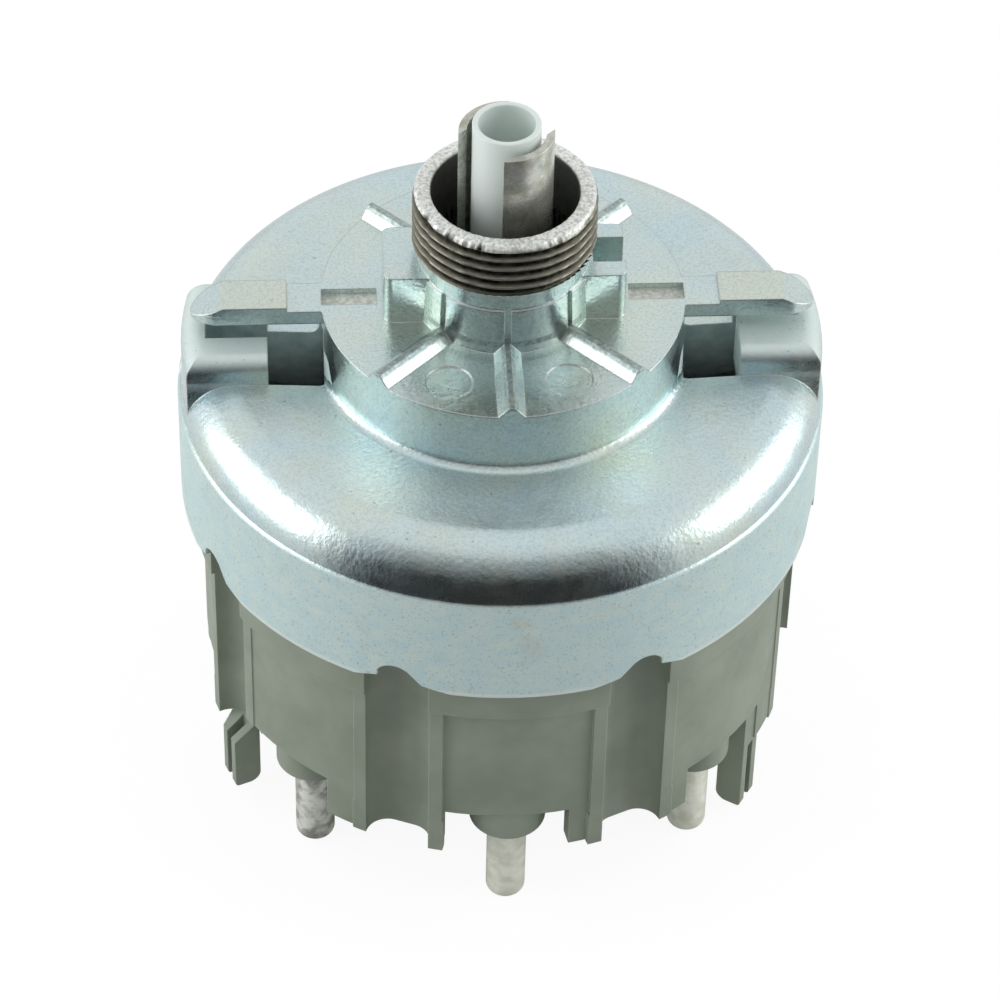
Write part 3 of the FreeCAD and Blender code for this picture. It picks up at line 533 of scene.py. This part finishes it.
def plated_pin(name, light, dark, depth):
    """Tinned brass pin: cream silver, duller and rougher where it has tarnished."""
    material, tree, shader, in_mm = new_material(name)
    stain = noise(tree, in_mm, 1.3, 5.0)
    give(tree, shader, {"Base Color": blend_colours(tree, between(tree, stain, 0.4, 0.62), light, dark),
                        "Metallic": 0.08, "Roughness": between(tree, stain, 0.3, 0.7, 0.30, 0.46),
                        "Normal": relief(tree, noise(tree, in_mm, 0.6, 4.0), depth)})
    return material


def bright_steel():
    """Drawn steel tube: bright, with fine marks and a brownish film in patches."""
    material, tree, shader, in_mm = new_material("drawn_steel_tube")
    film = noise(tree, in_mm, 1.4, 4.0)
    body = blend_colours(tree, between(tree, film, 0.4, 0.68), "#DADCD4", "#B0AFA2")
    give(tree, shader, {"Base Color": body, "Metallic": 0.75,
                        "Roughness": between(tree, film, 0.3, 0.7, 0.22, 0.36),
                        "Normal": relief(tree, noise(tree, in_mm, 0.5, 3.0), 0.015)})
    return material


def white_tube():
    """Natural white acetal: slightly translucent, cool in the light."""
    material, tree, shader, in_mm = new_material("natural_white_acetal")
    give(tree, shader, {"Base Color": colour("#E6F0EC"), "Roughness": 0.42, "Subsurface Weight": 0.25,
                        "Subsurface Radius": (1.0, 1.1, 1.0), "Subsurface Scale": 0.8 * MM,
                        "Normal": relief(tree, noise(tree, in_mm, 0.3, 2.0), 0.004)})
    return material


def plain_finish(name, code, metal, rough):
    """Inner piece's finish: one colour with a slight cloud, named for its stock."""
    material, tree, shader, in_mm = new_material(name)
    cloud = noise(tree, in_mm, 1.0, 3.0)
    darker = tuple(0.75 * v for v in colour(code)[:3]) + (1.0,)
    body = blend_colours(tree, between(tree, cloud, 0.35, 0.7), code, darker)
    give(tree, shader, {"Base Color": body, "Metallic": metal, "Roughness": rough,
                        "Normal": relief(tree, cloud, 0.01)})
    return material


# Housing

def above_neck(centre):
    """Whether a face belongs to the collar, whose thread is drawn apart."""
    return centre.z > NECK_TOP + 0.4 and math.hypot(centre.x, centre.y) < CREST_R + 0.3


def on_outside(centre, normal):
    """Whether a face looks outwards, as those of the pads' feet do."""
    outwards = centre.x * normal.x + centre.y * normal.y
    return outwards > 0.3 * math.hypot(centre.x, centre.y) and centre.z > BAND_TOP


def tight_foot(points):
    """The hub's foot as the eye sees it: its fillet drawn in to a quarter and left as it is beside the
    windows. With F = (HUB_FOOT_R, DOME_TOP), (r, z) goes to F + ((r, z) - F) / 4."""
    radius = np.hypot(points[:, 0], points[:, 1])
    rise = points[:, 2] - DOME_TOP
    out = radius - HUB_FOOT_R
    near = (out > -NEAR) & (out < HUB_FILLET + NEAR) & (rise > -0.02) & (rise < HUB_FILLET + 0.02)
    drawn_in = 1 - 0.75 * ramp(np.abs(points[:, 1]), WINDOW_HALF, 1.5) * near
    moved = points.copy()
    moved[:, :2] *= ((HUB_FOOT_R + out * drawn_in) / radius)[:, None]
    moved[:, 2] = np.where(near, DOME_TOP + rise * drawn_in, points[:, 2])
    return moved


def stepped_ribs(points):
    """The lower rear edges of the ribs behind the windows drawn down, as a second step."""
    x, y, z = points.T
    rear = (np.abs(z - WINDOW_RIB_END) < NEAR) & (np.abs(y - WINDOW_RIB_BACK) < NEAR)
    moved = points.copy()
    moved[rear & (np.abs(x) > WINDOW_IN), 2] -= RIB_DROP
    return moved


def housing_finish(centre, normal):
    """Which finish a face of the housing takes, told by the place of its middle in mm and its direction."""
    x, y, z = abs(centre.x), centre.y, centre.z
    radius = math.hypot(x, y)
    level = abs(normal.z) > 0.9 and abs(z - POCKET_FLOOR) < 0.1
    behind_slot = normal.y < -0.9 and abs(y - ARM_HALF) < NEAR and z < ARM_UNDER - 0.1
    in_rib = WINDOW_RIB_END - RIB_DROP < z < WINDOW_RIB_END + 1
    step = in_rib and ARM_HALF - 0.1 < y < WINDOW_RIB_BACK + 0.1
    upright = abs(normal.z) < 0.35
    window_wall = upright and abs(y) < WINDOW_HALF and x < WINDOW_OUT and z < PAD_TOP - 0.1
    if level and abs(y) < POCKET_HALF and radius > POCKET_IN_R:
        return POCKET
    if radius < BORE_R + 0.15 and z > BORE_END:
        return BORE
    if x > WINDOW_IN and z > LIT_FROM and (behind_slot or window_wall or step):
        return WINDOW
    if radius < INSIDE_R and z < INSIDE_TOP and not on_outside(centre, normal):
        return WINDOW if x > LIT_IN and abs(y) < LIT_HALF and z > LIT_FROM else INSIDE
    return OUTSIDE


def make_housing(finishes):
    """The casting without its collar, its finishes told apart by place."""
    points, faces = merged_form("housing", above_neck)
    points = stepped_ribs(tight_foot(points))
    thing = piece("housing_casting", points, faces, "housing", finishes, ["housing"])
    for face in thing.data.polygons:
        face.material_index = housing_finish(Vector(face.center) / MM, face.normal)
    return weighted(thing)


def make_collar(finish):
    """Threaded collar: rows of a closed (radius, height) section carried round the axis.
    The outside is a helical thread: radius = crest - depth * valley((height / pitch + turn) mod 1),
    faded into the run-out below and the chamfer above, with knocks in the rim."""
    around, thread_rows = 480, 90
    low, start, top = NECK_TOP - 0.15, NECK_TOP + 0.1, COLLAR_TOP
    rows = [(BORE_R, low), (BORE_R, top - 0.9), (BORE_R + 0.02, top - 0.3), (BORE_R + 0.1, top - 0.08),
            (BORE_R + 0.22, top)]
    rows += [(r, top) for r in np.linspace(BORE_R + 0.4, CREST_R - 0.5, 6)]
    rows += [(CREST_R - 0.38, top - 0.03), (CREST_R - 0.3, top - 0.1), (CREST_R - 0.15, top - 0.26)]
    span = slice(len(rows), len(rows) + thread_rows)
    rows += [(CREST_R, h) for h in np.linspace(top - 0.42, start, thread_rows)]
    rows += [(THREAD_ROOT_R, low)]
    radius, height, turn = turned(rows, around)

    phase = (height[span] / THREAD_PITCH + turn / (2 * math.pi)) % 1.0
    valley = ramp(1 - np.abs(2 * phase - 1), 0.12, 0.74)
    run_out = ramp(height[span], start, 0.5)
    worn = 1 - 0.06 * smooth_noise(turn, 5, 40)
    radius[span] = THREAD_ROOT_R + (CREST_R - THREAD_ROOT_R) * (1 - valley) * run_out * worn

    knocks = sum(depth * hump(turn, angle, width) for depth, angle, width in KNOCKS)
    rough = np.abs(smooth_noise(turn, 11, 60, 8))
    near_rim = ramp(height, top - 1.3, 1.1) * ramp(radius, 6.7, 1.0)
    radius -= near_rim * (knocks * (0.16 + 0.16 * rough) + 0.02 * rough)
    height -= near_rim * (knocks * (0.10 + 0.16 * rough) + 0.02 * rough)
    inner = np.clip(7.4 - radius, 0, 1) * ramp(height, top - 0.5, 0.4)
    height -= inner * 0.03 * rough
    return piece("threaded_collar", turned_points(radius, height, turn),
                 grid_faces(len(rows), around, close_rows=True), "housing", [finish],
                 ["housing"], 50.0)


# Contact base

def tab_channels():
    """Boxes that cut a channel into each keying tab, open outwards and below: corner
    (x, -r, z) turned by the tab's angle."""
    box = np.array([(x, -r, z) for z in (-1.0, LEG_END - 0.05) for r in (TAB_IN_R + TAB_WEB, TAB_OUT_R + 1)
                    for x in (-CHANNEL_HALF, CHANNEL_HALF)])
    sides = np.array([(0, 1, 3, 2), (4, 6, 7, 5), (0, 4, 5, 1), (2, 3, 7, 6), (0, 2, 6, 4), (1, 5, 7, 3)])
    points, faces = [], []
    for i, angle in enumerate(np.radians(TAB_ANGLES)):
        c, s = math.cos(angle), math.sin(angle)
        points.append(box @ np.array([[c, s, 0], [-s, c, 0], [0, 0, 1]]))
        faces += (sides + len(box) * i).tolist()
    return np.concatenate(points), faces


def sloped_tabs(points):
    """The tabs' outer upper corners lowered, so that their tops fall away outwards."""
    moved = points.copy()
    for angle in np.radians(TAB_ANGLES):
        out = points[:, 0] * math.sin(angle) - points[:, 1] * math.cos(angle)
        aside = points[:, 0] * math.cos(angle) + points[:, 1] * math.sin(angle)
        corner = (np.abs(points[:, 2] - LEG_END) < 0.02) & (out > TAB_OUT_R - 0.2) & (np.abs(aside) < 1.4)
        moved[corner, 2] -= TAB_DROP
    return moved


def make_base(finish):
    """The grey moulding, its tabs' tops sloped and their channels cut."""
    points, faces = merged_form("contact_base")
    points, faces = cut(sloped_tabs(points), faces, *tab_channels())
    return weighted(piece("contact_base_finished", points, faces, "housing", [finish],
                          ["contact_base"]))


# Contact pins

def make_pin(index, angle, finish):
    """Pin turned about its own axis: rows of a (radius, height) profile, its tip the quarter circle
    (r - c + c cos a, c - c sin a), then the seat, the rivet's neck and its head."""
    around, middle = 72, 0.02
    neck, head, crown, head_top = 1.2, 2.0, 1.5, STRIP_Z + 0.7
    sweep = np.radians(np.linspace(90, 0, 9))
    rows = [(middle, 0.0), (0.5, 0.0)]
    rows += [(PIN_R - PIN_CORNER + PIN_CORNER * math.cos(a), PIN_CORNER - PIN_CORNER * math.sin(a))
             for a in sweep]
    rows += [(PIN_R, h) for h in np.linspace(PIN_CORNER + 0.6, SEAT_Z, 12)]
    rows += [(SEAT_R, SEAT_Z), (SEAT_R, FLOOR_Z), (neck, FLOOR_Z), (neck, STRIP_Z), (head, STRIP_Z),
             (crown, head_top), (middle, head_top)]
    a = math.radians(angle)
    points = turned_points(*turned(rows, around), PIN_CIRCLE * math.sin(a), -PIN_CIRCLE * math.cos(a))
    faces = grid_faces(len(rows), around)
    faces.append(list(range(around))[::-1])
    faces.append([(len(rows) - 1) * around + i for i in range(around)])
    return piece("turned_pin_%d" % index, points, faces, "housing", [finish],
                 ["contact_pin_%d" % index], 40.0)


# Light and floor

def front_share(tree, way):
    """How squarely a direction or floor point lies before the camera: 0 beyond 58 degrees, 1 within 41.
    Also its height."""
    x, y, z = axis_values(tree, way)
    ahead = calc(tree, "ADD", product(tree, x, -math.sin(TURN)), product(tree, y, -math.cos(TURN)))
    reach = calc(tree, "MAXIMUM", radius_value(tree, x, y), 0.0001)
    return between(tree, calc(tree, "DIVIDE", ahead, reach), 0.53, 0.755), z


def soft_box(name, azimuth, high, width):
    """Upright soft source on the floor, high and width in m, at a plan angle from the camera's side."""
    reach, low, strength = 0.45, 0.004, 2.0
    a = math.radians(azimuth) - TURN
    height = high - low
    data = bpy.data.lights.new(name, "AREA")
    data.shape = "RECTANGLE"
    data.size, data.size_y = width, height
    data.energy = strength * math.pi * width * height
    lamp = placed(name, data)
    lamp.location = Vector((reach * math.sin(a), -reach * math.cos(a), (low + high) / 2))
    lamp.rotation_mode = "QUATERNION"
    lamp.rotation_quaternion = (-Vector((lamp.location.x, lamp.location.y, 0))).to_track_quat("-Z", "Z")


def white_tent():
    """White surroundings with the dark opening that the camera looks through. Shiny faces show the opening
    nearly black; matt ones take only a little less light from there."""
    brightness, matt_depth, shiny_depth = 0.80, 0.72, 0.97
    world = bpy.data.worlds.new("studio")
    bpy.context.scene.world = world
    world.use_nodes = True
    tree = world.node_tree
    ray = add(tree, "ShaderNodeLightPath").outputs
    front, up = front_share(tree, add(tree, "ShaderNodeTexCoord").outputs["Generated"])
    # Upwards the opening fades in two steps
    height = product(tree, between(tree, up, 0.2, 0.72, 1.0, 0.62), between(tree, up, 0.72, 0.98, 1.0, 0.05))
    depth = between(tree, ray["Is Glossy Ray"], 0.0, 1.0, matt_depth, shiny_depth)
    room = product(tree, calc(tree, "SUBTRACT", 1.0, product(tree, front, height, depth)), brightness)
    seen = {0: ray["Is Camera Ray"], 2: room, 3: 1.0}
    level = add(tree, "ShaderNodeMix", seen, data_type="FLOAT").outputs[0]
    give(tree, tree.nodes["Background"], {"Strength": level, "Color": (1, 1, 1, 1)})


def white_floor():
    """The tent's matt floor, shown to the camera nearly as white as the background. Shiny faces see the
    opening's darkness in it too."""
    half, opening_depth, glow_strength, glow_share = 3.0, 0.96, 1.06, 0.86
    matt_white, black = (0.85, 0.85, 0.85, 1), (0, 0, 0, 1)
    corners = [(-half, -half, 0), (half, -half, 0), (half, half, 0), (-half, half, 0)]
    floor = meshed("floor", corners, [(0, 1, 2, 3)])
    material = bpy.data.materials.new("white_floor")
    material.use_nodes = True
    tree = material.node_tree
    tree.nodes.remove(tree.nodes["Principled BSDF"])
    ray = add(tree, "ShaderNodeLightPath").outputs
    front, _ = front_share(tree, add(tree, "ShaderNodeTexCoord").outputs["Object"])
    depth = product(tree, front, ray["Is Glossy Ray"], opening_depth)
    shade = blend_colours(tree, depth, matt_white, black)
    matt = add(tree, "ShaderNodeBsdfDiffuse", {"Color": shade}).outputs[0]
    glow = add(tree, "ShaderNodeEmission", {"Color": (1, 1, 1, 1), "Strength": glow_strength}).outputs[0]
    share = product(tree, ray["Is Camera Ray"], glow_share)
    mixed = add(tree, "ShaderNodeMixShader", {0: share, 1: matt, 2: glow}).outputs[0]
    give(tree, tree.nodes["Material Output"], {"Surface": mixed})
    floor.data.materials.append(material)


def studio():
    """White tent and floor, with a soft source on either side."""
    white_tent()
    soft_box("left_source", -84, 0.38, 0.36)
    soft_box("right_source", 92, 0.36, 0.34)
    white_floor()


def make_all():
    """All pieces and their finishes. The inner solids stay as they are and only take a finish."""
    # The pocket floors are painted pale as light, the bore dark as shade, and the zinc seen through the
    # windows paler as light
    make_housing([passivated_zinc(), pocket_floor_painted_pale(), bore_painted_dark(),
                  inner_casting("unpolished_inner_zinc", "#8FA3A3", "#74898B", 0.35),
                  inner_casting("window_zinc_painted_paler", "#EDFCFA", "#C6DEDC", 0.05)])
    make_collar(cut_thread())
    make_base(grey_moulding())
    bright_pin = plated_pin("tinned_pin", "#FAFCEF", "#E2E6D4", 0.01)
    dull_pin = plated_pin("tinned_pin_dull", "#EEF0E8", "#9DA09A", 0.03)
    for i, angle in enumerate(PIN_ANGLES, 1):
        make_pin(i, angle, dull_pin if i == DULL_PIN else bright_pin)
    carried("shaft", "pull_shaft", bright_steel(), 0.12)
    carried("light_tube", "pull_shaft", white_tube(), 0.1)
    stock = {"inner_plastic": plain_finish("black_moulded_nylon", "#2A2B2B", 0.0, 0.5),
             "contact_bronze": plain_finish("spring_bronze", "#B98A5E", 1.0, 0.35),
             "contact_brass": plain_finish("stamped_brass", "#C7AC6B", 1.0, 0.35),
             "plain_steel": plain_finish("plain_steel", "#9A9B9B", 1.0, 0.32)}
    for entry in frame["record"]["subparts"]:
        if entry["material_slot"] in stock:
            mesh = frame["nodes"][entry["node"]].data
            mesh.materials.clear()
            mesh.materials.append(stock[entry["material_slot"]])


photo_camera()
studio()
make_all()

bpy.context.scene.view_settings.view_transform = "Standard"
